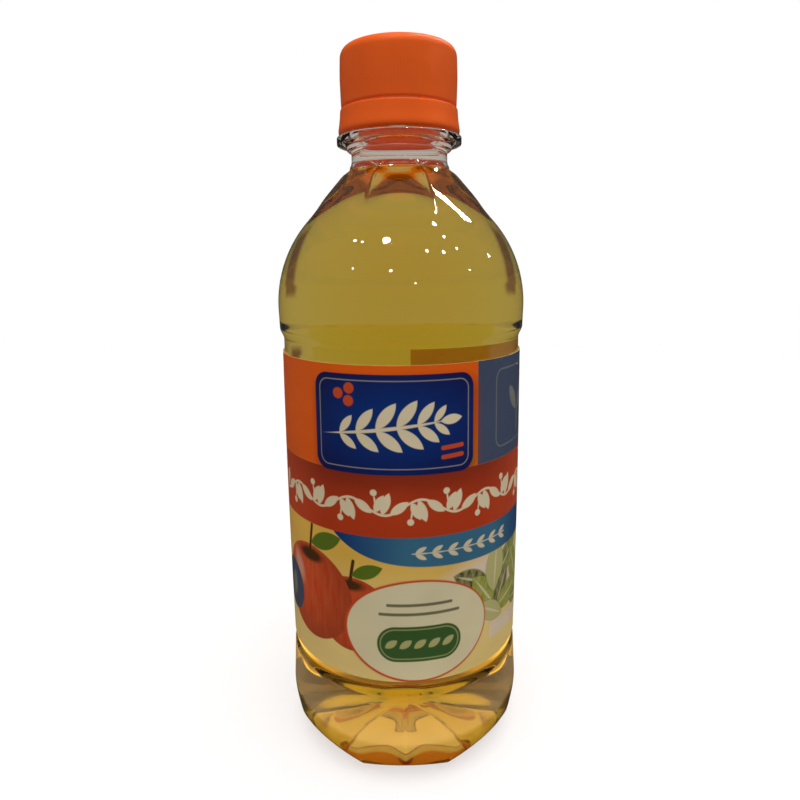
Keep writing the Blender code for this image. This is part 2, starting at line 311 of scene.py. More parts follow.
def neck_finish():
    collar_z = RING_TOP_Z - 3.5 * MM
    bead_z = RING_TOP_Z + 3.8 * MM
    edge = RING_OUTER - 0.3 * MM
    points = [(NECK_RADIUS + 0.5 * MM, NECK_BASE_Z + 0.2 * MM)]
    points += [(NECK_RADIUS + 0.2 * MM, NECK_BASE_Z + 0.8 * MM)]
    points += [(NECK_RADIUS, NECK_BASE_Z + 1.6 * MM), (NECK_RADIUS, collar_z - 0.3 * MM)]
    points += [(NECK_RADIUS + 0.2 * MM, collar_z), (COLLAR_OUTER - 0.3 * MM, collar_z + 0.05 * MM)]
    points += [(COLLAR_OUTER - 0.05 * MM, collar_z + 0.3 * MM), (COLLAR_OUTER, collar_z + 1.1 * MM)]
    points += [(COLLAR_OUTER + 0.4 * MM, collar_z + 1.35 * MM), (edge, RING_TOP_Z - 1.95 * MM)]
    points += arc(edge, RING_TOP_Z - 1.65 * MM, 0.3 * MM, 0.3 * MM, -60.0, 0.0, 3)
    points += arc(edge, RING_TOP_Z - 0.3 * MM, 0.3 * MM, 0.3 * MM, 0.0, 90.0, 4)
    points += [(THREAD_ROOT + 0.3 * MM, RING_TOP_Z + 0.02 * MM)]
    points += [(THREAD_ROOT + 0.05 * MM, RING_TOP_Z + 0.3 * MM), (THREAD_ROOT, bead_z - 1.3 * MM)]
    points += [(BEAD_OUTER, bead_z - 0.3 * MM), (BEAD_OUTER, bead_z + 0.2 * MM)]
    points += [(THREAD_ROOT, bead_z + 1.5 * MM), (THREAD_ROOT, MOUTH_Z - 1.0 * MM)]
    points += [(THREAD_ROOT - 0.6 * MM, MOUTH_Z), (BORE_RADIUS + 0.25 * MM, MOUTH_Z)]
    return points


def heel(inset, lift, steps=20):
    height = BASE_WIDEST_Z - lift
    width = BODY_RADIUS - FOOT_OUTER - inset
    return arc(FOOT_OUTER, BASE_WIDEST_Z, width, height, -90.0, 0.0, steps)


def cavity_outline(gap):
    lift = BASE_WALL + gap
    inset = WALL + gap
    inside = push_up(lift, FOOT_INNER)[1:] + [(FOOT_INNER, lift)]
    inside += heel(inset, lift) + body(inset)
    inside += arc(BORE_RADIUS + 1.2 * MM - gap, NECK_BASE_Z + 1.4 * MM, 1.2 * MM, 1.2 * MM, 225.0, 180.0, 4)
    return inside + [(BORE_RADIUS - gap, MOUTH_Z - 0.3 * MM)]


def bottle_outline():
    outside = push_up(0.0, FOOT_INNER) + [(FOOT_INNER, 0.0)]
    outside += heel(0.0, 0.0) + body(0.0) + neck_finish()
    return outside + list(reversed(cavity_outline(0.0))) + [(0.0, PUSH_UP + BASE_WALL)]


def vinegar_outline():
    """Up to the fill level, with the little rise where the surface meets the wall."""
    below = [point for point in cavity_outline(-INTO_WALL) if point[1] < FILL_Z - 0.1 * MM]
    edge = below[-1][0] - (FILL_Z - below[-1][1]) * math.tan(CONE_ANGLE)
    surface = [(edge, FILL_Z)]
    for step in range(1, 8):
        surface.append((edge - 0.35 * MM * step, FILL_Z - 0.9 * MM * (1.0 - math.exp(-0.6 * step))))
    low = surface[-1][1]
    return [(0.0, PUSH_UP + BASE_WALL - INTO_WALL)] + below + surface + [(0.0, low)]


# Materials


def new_node(tree, kind, **settings):
    node = tree.nodes.new(kind)
    for key, value in settings.items():
        setattr(node, key, value)
    return node


def feed(tree, socket, value):
    if isinstance(value, bpy.types.NodeSocket):
        tree.links.new(value, socket)
    else:
        socket.default_value = value


def calc(tree, operation, *values, clamp=False):
    node = new_node(tree, "ShaderNodeMath", operation=operation, use_clamp=clamp)
    for socket, value in zip(node.inputs, values):
        feed(tree, socket, value)
    return node.outputs["Value"]


def climb(tree, value, low, high):
    """0 at low and 1 at high, and a straight climb between them."""
    slope = 1.0 / (high - low)
    return calc(tree, "MULTIPLY_ADD", value, slope, -low * slope, clamp=True)


def vector_calc(tree, operation, *values):
    node = new_node(tree, "ShaderNodeVectorMath", operation=operation)
    for socket, value in zip(node.inputs, values):
        feed(tree, socket, value)
    return node.outputs["Value" if operation == "LENGTH" else "Vector"]


def blend(tree, share, under, over):
    node = new_node(tree, "ShaderNodeMixRGB")
    feed(tree, node.inputs["Fac"], share)
    feed(tree, node.inputs["Color1"], under)
    feed(tree, node.inputs["Color2"], over)
    return node.outputs["Color"]


def ramp(tree, share, stops):
    node = new_node(tree, "ShaderNodeValToRGB")
    elements = node.color_ramp.elements
    while len(elements) < len(stops):
        elements.new(0.5)
    for element, (position, colour) in zip(elements, stops):
        element.position = position
        element.color = colour
    tree.links.new(share, node.inputs["Fac"])
    return node.outputs["Color"]


def noise(tree, scale, detail=3.0, stretch=(1.0, 1.0, 1.0), coordinates="Object"):
    coords = new_node(tree, "ShaderNodeTexCoord")
    mapping = new_node(tree, "ShaderNodeMapping")
    mapping.inputs["Scale"].default_value = stretch
    made = new_node(tree, "ShaderNodeTexNoise")
    made.inputs["Scale"].default_value = scale
    made.inputs["Detail"].default_value = detail
    tree.links.new(coords.outputs[coordinates], mapping.inputs["Vector"])
    tree.links.new(mapping.outputs["Vector"], made.inputs["Vector"])
    return made.outputs["Fac"]


def spread(tree, value, low, high):
    """Stretches a noise's middle part to the range from low to high."""
    node = new_node(tree, "ShaderNodeMapRange")
    node.inputs["From Min"].default_value = 0.3
    node.inputs["From Max"].default_value = 0.7
    node.inputs["To Min"].default_value = low
    node.inputs["To Max"].default_value = high
    tree.links.new(value, node.inputs["Value"])
    return node.outputs["Result"]


def add_bump(tree, shader, height, strength, distance):
    bump = new_node(tree, "ShaderNodeBump")
    bump.inputs["Strength"].default_value = strength
    bump.inputs["Distance"].default_value = distance
    tree.links.new(height, bump.inputs["Height"])
    tree.links.new(bump.outputs["Normal"], shader.inputs["Normal"])


def principled(name, **values):
    made = bpy.data.materials.new(name)
    made.use_nodes = True
    shader = made.node_tree.nodes["Principled BSDF"]
    for key, value in values.items():
        shader.inputs[key.replace("_", " ")].default_value = value
    return made, made.node_tree, shader


def pet_material():
    made, tree, shader = principled(
        "clear_pet", Base_Color=(0.98, 0.99, 0.97, 1.0), Roughness=0.02, IOR=1.5, Transmission_Weight=1.0
    )
    waves = noise(tree, 60.0, 1.0, (1.0, 1.0, 0.5))
    add_bump(tree, shader, waves, 0.12, 0.0006)
    return made


def vinegar_material():
    made, tree, shader = principled(
        "vinegar", Base_Color=(1.0, 1.0, 1.0, 1.0), Roughness=0.0, IOR=1.34, Transmission_Weight=1.0
    )
    volume = new_node(tree, "ShaderNodeVolumeAbsorption")
    volume.inputs["Color"].default_value = (0.965, 0.842, 0.02, 1.0)
    volume.inputs["Density"].default_value = 50.0
    tree.links.new(volume.outputs["Volume"], tree.nodes["Material Output"].inputs["Volume"])
    return made


def cap_material():
    made, tree, shader = principled("orange_cap", Roughness=0.36, IOR=1.46, Specular_IOR_Level=0.3)
    patches = spread(tree, noise(tree, 90.0, 2.0, (1.0, 1.0, 0.35)), 0.0, 1.0)
    colour = blend(tree, patches, (0.85, 0.124, 0.011, 1.0), (0.91, 0.138, 0.013, 1.0))
    tree.links.new(colour, shader.inputs["Base Color"])
    add_bump(tree, shader, noise(tree, 900.0), 0.1, 0.0001)
    return made


def cap_inside_material():
    """Painted light: an emission stands in for the light that the thin wall lets through, so from inside the
    cap glows.
    """
    made, tree, shader = principled(
        "orange_cap_inside_painted_glow", Roughness=0.4, Emission_Color=(0.62, 0.088, 0.022, 1.0), Emission_Strength=0.28
    )
    patches = spread(tree, noise(tree, 160.0), 0.0, 1.0)
    colour = blend(tree, patches, (0.60, 0.07, 0.008, 1.0), (0.70, 0.09, 0.010, 1.0))
    tree.links.new(colour, shader.inputs["Base Color"])
    return made


class Print:
    """The label's face. Masks are painted one over another, in mm along and up the label."""

    def __init__(self, tree):
        self.tree = tree
        coords = new_node(tree, "ShaderNodeUVMap", uv_map="print")
        split = new_node(tree, "ShaderNodeSeparateXYZ")
        tree.links.new(coords.outputs["UV"], split.inputs["Vector"])
        self.along = calc(tree, "MULTIPLY_ADD", split.outputs["X"], FACE_LENGTH, FACE_START)
        self.up = calc(tree, "MULTIPLY", split.outputs["Y"], FACE_HEIGHT)
        self.place = self.point(self.along, self.up)
        self.colour = STRAW

    def point(self, along, up):
        node = new_node(self.tree, "ShaderNodeCombineXYZ")
        feed(self.tree, node.inputs["X"], along)
        feed(self.tree, node.inputs["Y"], up)
        return node.outputs["Vector"]

    def calc(self, operation, *values, clamp=False):
        return calc(self.tree, operation, *values, clamp=clamp)

    def local(self, centre, turn=0.0, scale=(1.0, 1.0), place=None):
        node = new_node(self.tree, "ShaderNodeMapping", vector_type="TEXTURE")
        node.inputs["Location"].default_value = (*centre, 0.0)
        node.inputs["Rotation"].default_value = (0.0, 0.0, math.radians(turn))
        node.inputs["Scale"].default_value = (*scale, 1.0)
        self.tree.links.new(place or self.place, node.inputs["Vector"])
        return node.outputs["Vector"]

    def inside(self, distance, soft=SOFT_EDGE):
        return self.calc("MULTIPLY_ADD", distance, -0.5 / soft, 0.5, clamp=True)

    def between(self, low, high, soft=SOFT_EDGE, value=None):
        value = value or self.up
        off_middle = self.calc("ABSOLUTE", self.calc("SUBTRACT", value, (low + high) / 2.0))
        return self.inside(self.calc("SUBTRACT", off_middle, (high - low) / 2.0), soft)

    def oval(self, centre, radii, turn=0.0, soft=SOFT_EDGE, place=None):
        far = vector_calc(self.tree, "LENGTH", self.local(centre, turn, radii, place))
        distance = self.calc("MULTIPLY_ADD", far, min(radii), -min(radii))
        return self.inside(distance, soft)

    def box_distance(self, centre, half, corner, turn=0.0):
        folded = vector_calc(self.tree, "ABSOLUTE", self.local(centre, turn))
        past = vector_calc(self.tree, "SUBTRACT", folded, (half[0] - corner, half[1] - corner, 0.0))
        past = vector_calc(self.tree, "MAXIMUM", past, (0.0, 0.0, 0.0))
        return self.calc("SUBTRACT", vector_calc(self.tree, "LENGTH", past), corner)

    def box(self, centre, half, corner, turn=0.0, soft=SOFT_EDGE):
        return self.inside(self.box_distance(centre, half, corner, turn), soft)

    def frame(self, centre, half, corner, width, turn=0.0):
        distance = self.box_distance(centre, half, corner, turn)
        off_line = self.calc("ABSOLUTE", distance)
        return self.inside(self.calc("SUBTRACT", off_line, width / 2.0))

    def leaf(self, centre, length, width, turn, place=None):
        """Two arcs that meet in points. The lengths are the whole leaf's."""
        half_length, half_width = length / 2.0, width / 2.0
        radius = (half_length**2 + half_width**2) / (2.0 * half_width)
        folded = vector_calc(self.tree, "ABSOLUTE", self.local(centre, turn, place=place))
        shifted = vector_calc(self.tree, "ADD", folded, (0.0, radius - half_width, 0.0))
        return self.inside(self.calc("SUBTRACT", vector_calc(self.tree, "LENGTH", shifted), radius))

    def union(self, masks):
        joined = masks[0]
        for mask in masks[1:]:
            joined = self.calc("MAXIMUM", joined, mask)
        return joined

    def both(self, mask, other):
        return self.calc("MULTIPLY", mask, other)

    def paint(self, mask, colour, strength=1.0):
        share = mask if strength == 1.0 else self.calc("MULTIPLY", mask, strength)
        self.colour = blend(self.tree, share, self.colour, colour)

    def grain(self, scale, stretch=(1.0, 1.0)):
        node = new_node(self.tree, "ShaderNodeTexNoise")
        node.inputs["Scale"].default_value = scale
        node.inputs["Detail"].default_value = 3.0
        place = self.local((0.0, 0.0), scale=stretch)
        self.tree.links.new(place, node.inputs["Vector"])
        return node.outputs["Fac"]


def paint_ground(art):
    """Straw yellow under the bands, paler towards the lower edge."""
    share = art.calc("DIVIDE", art.up, RED_BAND[0], clamp=True)
    stops = [(0.0, PALE_YELLOW), (0.5, PALE_YELLOW), (0.85, STRAW), (1.0, STRAW)]
    art.colour = ramp(art.tree, share, stops)


def paint_leaves(art):
    """A heap of salad leaves at the right on a pale ground, each with a paler rib."""
    art.paint(art.oval((26.0, 22.0), (17.0, 9.5), soft=2.5), WHITE_INK)
    fan = (
        ((18.5, 25.5), 12.0, 5.6, 158.0, DARK_GREEN),
        ((23.0, 20.5), 14.0, 7.0, 128.0, LEAF_GREEN),
        ((33.0, 27.0), 15.0, 7.0, 35.0, MID_GREEN),
        ((27.0, 26.5), 14.0, 7.6, 86.0, PALE_GREEN),
        ((39.0, 22.0), 16.0, 7.0, 118.0, LEAF_GREEN),
        ((30.0, 19.0), 13.0, 5.4, 60.0, DARK_GREEN),
        ((34.5, 16.0), 15.0, 7.0, 12.0, LEAF_GREEN),
        ((25.5, 14.5), 12.0, 5.4, 150.0, PALE_GREEN),
        ((41.5, 12.0), 12.0, 5.0, 170.0, MID_GREEN),
    )
    streaks = spread(art.tree, art.grain(0.7, (1.0, 2.0)), 0.0, 0.7)
    for centre, length, width, turn, colour in fan:
        blade = art.leaf(centre, length, width, turn)
        art.paint(art.leaf(centre, length + 0.5, width + 0.5, turn), DARK_GREEN, 0.35)
        art.paint(blade, blend(art.tree, streaks, colour, PALE_GREEN))
        art.paint(art.leaf(centre, length * 0.9, 0.7, turn), CREAM, 0.7)


def paint_apple(art, centre, radius):
    """A round red apple with a hollow, a stem and a leaf on top."""
    across, up = centre
    body = art.oval(centre, (radius, radius * 0.94))
    lit = art.oval((across - 0.3 * radius, up + 0.25 * radius), (radius, radius), soft=0.7 * radius)
    streaks = spread(art.tree, art.grain(0.5, (0.6, 4.0)), 0.0, 0.5)
    skin = blend(art.tree, lit, APPLE_SHADE, APPLE_RED)
    skin = blend(art.tree, art.both(lit, streaks), skin, APPLE_BLUSH)
    art.paint(body, skin)
    glint = art.oval((across - 0.45 * radius, up + 0.35 * radius), (0.16 * radius, 0.3 * radius), 25.0, 0.9)
    art.paint(glint, WHITE_INK, 0.45)
    art.paint(art.oval((across, up + 0.74 * radius), (0.34 * radius, 0.13 * radius), soft=0.5), BARK)
    art.paint(art.box((across + 0.5, up + 1.05 * radius), (0.45, 0.34 * radius), 0.4, -10.0), BARK)
    green = art.leaf((across + 0.42 * radius, up + 1.12 * radius), 0.8 * radius, 0.34 * radius, 20.0)
    art.paint(green, MID_GREEN)


def paint_plaque(art):
    """A cream oval with two thin rules and a row of leaves in a green pill, and a pale strip at its right."""
    art.paint(art.box((34.0, 8.0), (9.0, 2.3), 1.0, -4.0), WHITE_INK)
    art.paint(art.oval((3.6, 14.0), (19.6, 14.2), soft=0.2), BRIGHT_BRICK)
    art.paint(art.oval((3.8, 14.0), (19.0, 13.6)), FLESH)
    for height, half in ((21.4, 8.5), (18.9, 10.5)):
        art.paint(art.box((4.0, height), (half, 0.4), 0.3), DARK_GREEN, 0.8)
    art.paint(art.box((4.0, 10.6), (11.0, 4.9), 4.8), BOTTLE_GREEN)
    art.paint(art.frame((4.0, 10.6), (10.2, 4.1), 4.0, 0.35), LINE_GREEN)
    for across in (-3.4, 0.3, 4.0, 7.7, 11.4):
        art.paint(art.leaf((across, 10.6), 3.8, 1.9, 35.0), PALE_GREEN, 0.85)


def paint_disc(art):
    """A plain blue disc near the left side, with a pale leaf."""
    art.paint(art.oval((-38.5, 17.5), (6.6, 7.4)), SLATE)
    art.paint(art.leaf((-38.5, 17.5), 8.4, 3.6, 80.0), PALE_SLATE)


def paint_blue_band(art):
    """Starts in a point at the left, under the red band, with a row of pale leaves at the right."""
    fall = art.calc("DIVIDE", art.calc("SUBTRACT", BLUE_TIP, art.along), 9.0)
    drop = art.calc("MINIMUM", art.calc("EXPONENT", fall), 1.0)
    lower = art.calc("MULTIPLY_ADD", drop, RED_BAND[0] - BLUE_LOW, BLUE_LOW)
    band = art.inside(art.calc("SUBTRACT", lower, art.up))
    right = art.inside(art.calc("SUBTRACT", BLUE_TIP, art.along))
    share = art.calc("DIVIDE", art.calc("SUBTRACT", art.along, BLUE_TIP), 64.0, clamp=True)
    stops = [(0.0, DEEP_BLUE), (0.3, STEEL), (0.7, STEEL), (1.0, DEEP_BLUE)]
    art.paint(art.both(band, right), ramp(art.tree, share, stops))
    wrapped = art.point(art.calc("WRAP", art.along, 2.1, -2.1), art.up)
    middle = (RED_BAND[0] + BLUE_LOW) / 2.0
    row = [art.leaf((0.0, middle), 6.0, 0.4, 0.0, wrapped)]
    for side in (1.0, -1.0):
        row.append(art.leaf((0.1, middle + 0.9 * side), 3.2, 1.2, 28.0 * side, wrapped))
    art.paint(art.both(art.union(row), art.between(2.0, 31.0, value=art.along)), CREAM, 0.9)


def paint_red_band(art):
    """Brick red, lighter towards both sides by a painted sheen, with a cream vine that winds along it."""
    share = climb(art.tree, art.up, *RED_BAND)
    brick = ramp(art.tree, share, [(0.0, BRICK), (0.45, BRICK), (1.0, DARK_BRICK)])
    # Painted sheen: the brick turns lighter towards both sides of the front.
    side = art.calc("MULTIPLY_ADD", art.calc("ABSOLUTE", art.along), 1.0 / 22.0, -1.0, clamp=True)
    brick = blend(art.tree, side, brick, BRIGHT_BRICK)
    right_of_end = art.inside(art.calc("SUBTRACT", -43.0, art.along))
    art.paint(art.both(art.between(*RED_BAND), right_of_end), brick)
    period, rise, level = 18.0, 2.0, 47.2
    turns = art.calc("SINE", art.calc("MULTIPLY", art.along, 2.0 * math.pi / period))
    stem = art.calc("MULTIPLY_ADD", turns, rise, level)
    off_stem = art.calc("ABSOLUTE", art.calc("SUBTRACT", art.up, stem))
    vine = [art.inside(art.calc("SUBTRACT", off_stem, 0.32))]
    for start in (0.0, period / 2.0):
        side_of_stem = 1.0 if start == 0.0 else -1.0
        wrapped = art.calc("WRAP", art.calc("SUBTRACT", art.along, start), period / 2.0, -period / 2.0)
        place = art.point(wrapped, art.up)
        for foot, length, turn in ((-5.2, 6.0, 72.0), (-3.2, 5.6, 36.0), (2.0, 5.0, -62.0)):
            foot_up = level + side_of_stem * rise * math.sin(2.0 * math.pi * foot / period)
            lean = math.radians(turn)
            middle = length / 2.0
            centre = (foot + middle * math.cos(lean), foot_up + side_of_stem * middle * math.sin(lean))
            vine.append(art.leaf(centre, length, 2.3, side_of_stem * turn, place))
        berry_up = level + side_of_stem * 4.9
        vine.append(art.oval((-7.2, berry_up - side_of_stem * 1.2), (0.85, 0.85), place=place))
        twig_middle = (-6.8, level + side_of_stem * 1.3)
        vine.append(art.leaf(twig_middle, 5.0, 0.5, side_of_stem * 100.0, place))
    vine = art.both(art.union(vine), art.inside(art.calc("SUBTRACT", -41.0, art.along)))
    art.paint(vine, CREAM)


def paint_upper_field(art):
    """Orange, golden towards the red band."""
    low = blend(art.tree, climb(art.tree, art.along, 0.0, 16.0), ORANGE, GOLDEN)
    field = blend(art.tree, climb(art.tree, art.up, RED_BAND[1], RED_BAND[1] + 12.0), low, ORANGE)
    above = art.inside(art.calc("SUBTRACT", RED_BAND[1], art.up))
    art.paint(above, field)


def paint_cartouche(art):
    """A navy panel with rounded corners, lighter in the middle, with a cream sprig and three berries."""
    centre, half, corner = (-2.4, 67.6), (20.6, 12.2), 3.6
    art.paint(art.box((-1.6, 65.8), (21.0, 12.6), 4.2, soft=2.2), DARK_BRICK, 0.75)
    glow = art.oval(centre, (21.0, 11.0), soft=6.0)
    art.paint(art.box(centre, half, corner), blend(art.tree, glow, NAVY, DEEP_BLUE))
    art.paint(art.frame(centre, (half[0] - 1.5, half[1] - 1.5), corner - 1.2, 0.25), CREAM, 0.4)
    middle = (-3.2, 66.8)
    flat = art.local(middle, 7.0)
    halves = new_node(art.tree, "ShaderNodeSeparateXYZ")
    art.tree.links.new(flat, halves.inputs["Vector"])
    folded = art.point(halves.outputs["X"], art.calc("ABSOLUTE", halves.outputs["Y"]))
    sprig = [art.leaf((-1.0, 0.0), 31.0, 0.9, 0.0, flat), art.leaf((15.4, 0.0), 5.6, 2.4, 0.0, flat)]
    for foot, length in ((-12.6, 5.6), (-8.2, 7.2), (-3.2, 8.2), (1.9, 8.2), (6.9, 6.8), (11.0, 5.0)):
        lean = math.radians(46.0)
        tip = (foot + length / 2.0 * math.cos(lean), length / 2.0 * math.sin(lean) + 0.1)
        sprig.append(art.leaf(tip, length, 0.36 * length, 46.0, folded))
    art.paint(art.union(sprig), CREAM)
    for across, up in ((-16.0, 75.0), (-13.2, 73.3), (-13.0, 76.4)):
        art.paint(art.oval((across, up), (1.35, 1.35)), BRIGHT_BRICK)
    for up in (59.6, 61.9):
        art.paint(art.box((12.4, up), (3.0, 0.55), 0.5, 4.0), BRIGHT_BRICK)


def paint_slate_panel(art):
    """A plain slate panel at the right, with a thin pale outline and a pale leaf pair."""
    low, high = SLATE_EDGES
    above = art.inside(art.calc("SUBTRACT", RED_BAND[1], art.up))
    art.paint(art.both(art.between(low, high, value=art.along), above), SLATE)
    middle = ((low + high) / 2.0, 69.0)
    art.paint(art.frame(middle, (12.5, 10.0), 2.5, 0.4), PALE_SLATE, 0.8)
    pair = [art.box((middle[0], 64.2), (0.35, 3.6), 0.3)]
    for side, turn in ((-3.4, 125.0), (3.4, 55.0)):
        pair.append(art.leaf((middle[0] + side, 70.5), 8.6, 3.4, turn))
    art.paint(art.union(pair), PALE_SLATE)


def paint_back_panels(art):
    """Pale panels with plain rules, near both ends of the label."""
    for centre, half in (((80.0, 33.0), (17.0, 27.0)), ((-67.0, 21.0), (14.5, 15.0))):
        panel = art.box(centre, half, 2.0)
        art.paint(panel, CREAM)
        rules = art.between(-0.28, 0.28, value=art.calc("WRAP", art.up, 1.7, -1.7))
        inner = art.box(centre, (half[0] - 2.5, half[1] - 2.5), 0.5)
        art.paint(art.both(rules, inner), BARK, 0.7)


def label_face_material():
    made, tree, shader = principled("label_print", Roughness=0.4, IOR=1.46, Specular_IOR_Level=0.25)
    art = Print(tree)
    paint_ground(art)
    paint_leaves(art)
    paint_apple(art, (-14.0, 17.5), 11.0)
    paint_apple(art, (-27.5, 20.0), 14.0)
    paint_disc(art)
    paint_plaque(art)
    paint_blue_band(art)
    paint_red_band(art)
    paint_upper_field(art)
    paint_slate_panel(art)
    paint_cartouche(art)
    paint_back_panels(art)
    shade = spread(tree, noise(tree, 55.0, 2.0), 0.94, 1.06)
    tint = new_node(tree, "ShaderNodeVectorMath", operation="SCALE")
    tree.links.new(art.colour, tint.inputs[0])
    tree.links.new(shade, tint.inputs["Scale"])
    tree.links.new(tint.outputs["Vector"], shader.inputs["Base Color"])
    tree.links.new(spread(tree, noise(tree, 300.0), 0.33, 0.45), shader.inputs["Roughness"])
    add_bump(tree, shader, noise(tree, 45.0, 2.0, (1.0, 1.0, 0.3)), 0.25, 0.0004)
    return made


def label_back_material():
    # Painted light: an emission makes the back of the label glow, in place of the light that reaches it
    # inside the bottle.
    made, tree, shader = principled(
        "label_back_painted_glow", Roughness=0.6, Emission_Color=(0.08, 0.065, 0.015, 1.0), Emission_Strength=1.0
    )
    patches = spread(tree, noise(tree, 120.0), 0.0, 1.0)
    colour = blend(tree, patches, (0.58, 0.53, 0.38, 1.0), (0.64, 0.60, 0.44, 1.0))
    tree.links.new(colour, shader.inputs["Base Color"])
    return made


# Pieces


def make_bottle():
    mesh = bmesh.new()
    turn_into(mesh, bottle_outline(), BOTTLE_SIDES, bottle_wave)
    bottle = make_object("bottle_shell", mesh, 40.0)
    bottle.data.materials.append(pet_material())
    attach(bottle, "root")
    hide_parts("bottle")


def make_vinegar():
    mesh = bmesh.new()
    turn_into(mesh, vinegar_outline(), BOTTLE_SIDES, bottle_wave)
    vinegar = make_object("vinegar_fill", mesh, 50.0)
    vinegar.data.materials.append(vinegar_material())
    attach(vinegar, "root")
    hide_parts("vinegar")


def cap_wave(radius, z, angle):
    on_skirt = radius > CAP_BORE + 0.5 * MM and CAP_SKIRT_Z + 0.8 * MM < z < CAP_TOP_Z - 2.8 * MM
    valley = 0.5 - 0.5 * math.cos(angle * CAP_RIBS)
    return (radius - CAP_RIB_DEPTH * valley if on_skirt else radius), z


def cap_outline():
    crown_inside = MOUTH_Z + 0.3 * MM
    rounding = 2.0 * MM
    edge = arc(15.2 * MM - rounding, CAP_TOP_Z - 1.3 * rounding, rounding, 1.3 * rounding, 0.0, 90.0, 12)
    outline = [(0.0, crown_inside), (CAP_BORE, crown_inside), (CAP_BORE, CAP_SKIRT_Z)]
    outline += [(14.95 * MM, CAP_SKIRT_Z), (15.1 * MM, CAP_SKIRT_Z + 0.15 * MM)]
    outline += [(15.15 * MM, CAP_SKIRT_Z + 0.7 * MM), (15.16 * MM, CAP_SKIRT_Z + 0.9 * MM)]
    outline += [(15.26 * MM, CAP_SKIRT_Z + 4.0 * MM), (15.34 * MM, CAP_SKIRT_Z + 7.0 * MM)]
    outline += [(15.27 * MM, CAP_SKIRT_Z + 10.2 * MM)]
    return outline + edge + [(10.0 * MM, CAP_TOP_Z - 0.02 * MM), (0.0, CAP_TOP_Z - 0.05 * MM)]


def band_outline():
    low, high = BAND_Z
    outline = [(14.35 * MM, high), (14.35 * MM, low + 0.9 * MM), (14.8 * MM, low + 0.15 * MM)]
    outline += [(15.2 * MM, low), (15.6 * MM, low + 0.05 * MM), (15.9 * MM, low + 0.35 * MM)]
    outline += [(16.0 * MM, low + 0.8 * MM), (16.0 * MM, low + 1.3 * MM), (15.9 * MM, low + 2.0 * MM)]
    outline += [(15.72 * MM, low + 3.0 * MM), (15.55 * MM, high - 2.0 * MM), (15.45 * MM, high - 0.5 * MM)]
    return outline + [(15.4 * MM, high - 0.2 * MM), (15.27 * MM, high - 0.03 * MM), (15.15 * MM, high)]


def make_cap():
    mesh = bmesh.new()
    turn_into(mesh, cap_outline(), 4 * CAP_RIBS, cap_wave)
    turn_into(mesh, band_outline(), 192, closed_loop=True)
    for number in range(BRIDGES):
        angle = 2.0 * math.pi * (number + 0.6) / BRIDGES
        place = Matrix.Translation(turned_point(14.75 * MM, (CAP_SKIRT_Z + BAND_Z[1]) / 2.0, angle))
        place = place @ Matrix.Rotation(angle, 4, "Z")
        size = Matrix.Diagonal((0.8 * MM, 0.5 * MM, CAP_SKIRT_Z - BAND_Z[1] + 0.8 * MM, 1.0))
        bmesh.ops.create_cube(mesh, size=1.0, matrix=place @ size)
    # Faces inside the cap take the second material, which has the painted glow.
    for face in mesh.faces:
        middle = face.calc_center_median()
        inward = Vector((middle.x, middle.y)).length < 14.5 * MM and middle.z < MOUTH_Z + 0.5 * MM
        face.material_index = 1 if inward else 0
    cap = make_object("screw_cap", mesh, 40.0)
    cap.data.materials.append(cap_material())
    cap.data.materials.append(cap_inside_material())
    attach(cap, "root")
    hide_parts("cap")


def make_label():
    inner = PANEL_RADIUS + LABEL_GAP
    start, end = LABEL_ENDS[0] - 2.0 * math.pi, LABEL_ENDS[1]
    rows, sides = 24, 216
    mesh = bmesh.new()
    coords = mesh.loops.layers.uv.new("print")
    skins = []
    places = {}
    for offset in (0.0, LABEL_THICKNESS):
        grid = []
        for row in range(rows + 1):
            z = LABEL_Z[0] + (LABEL_Z[1] - LABEL_Z[0]) * row / rows
            up_panel = (z - LOWER_STEP_Z[1]) / (UPPER_STEP_Z[0] - LOWER_STEP_Z[1])
            radius = inner + offset + PANEL_BULGE * math.sin(math.pi * up_panel)
            line = []
            for side in range(sides + 1):
                angle = start + (end - start) * side / sides
                vert = mesh.verts.new(turned_point(radius, z, angle))
                places[vert] = ((angle - start) / (end - start), row / rows)
                line.append(vert)
            grid.append(line)
        skins.append(grid)
    back, face = skins

    def quad(corners, slot):
        made = mesh.faces.new(corners)
        made.material_index = slot
        for loop in made.loops:
            loop[coords].uv = places[loop.vert]

    for grid, flipped in ((face, False), (back, True)):
        for low, high in zip(grid, grid[1:]):
            for side in range(sides):
                corners = (low[side], low[side + 1], high[side + 1], high[side])
                quad(tuple(reversed(corners)) if flipped else corners, 1 if flipped else 0)
    for row in (0, rows):
        for side in range(sides):
            quad((back[row][side], back[row][side + 1], face[row][side + 1], face[row][side]), 1)
    for side in (0, sides):
        for row in range(rows):
            quad((back[row][side], back[row + 1][side], face[row + 1][side], face[row][side]), 1)
    label = make_object("wrap_label", mesh)
    label.data.materials.append(label_face_material())
    label.data.materials.append(label_back_material())
    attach(label, "root")
    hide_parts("label")


# Stage, light and camera


def reflected(tree, rays):
    """1 for what gloss shows, and 0 for what is lit or looked through."""
    rough = calc(tree, "SUBTRACT", 1.0, rays.outputs["Is Diffuse Ray"])
    return calc(tree, "MULTIPLY", rays.outputs["Is Reflection Ray"], rough)


def fading_band(tree, value, middle, half, fade):
    """1 in a band round the middle, which fades to 0 towards both its edges."""
    off_middle = calc(tree, "ABSOLUTE", calc(tree, "SUBTRACT", value, middle))
    return climb(tree, off_middle, half, half - fade)


def dark_sides(tree, x, y):
    """The turn from straight behind, and 1 in two sectors, behind on the left and on the right."""
    turn = calc(tree, "ARCTAN2", calc(tree, "ABSOLUTE", x), y)
    return turn, fading_band(tree, turn, *DARK_SIDES)


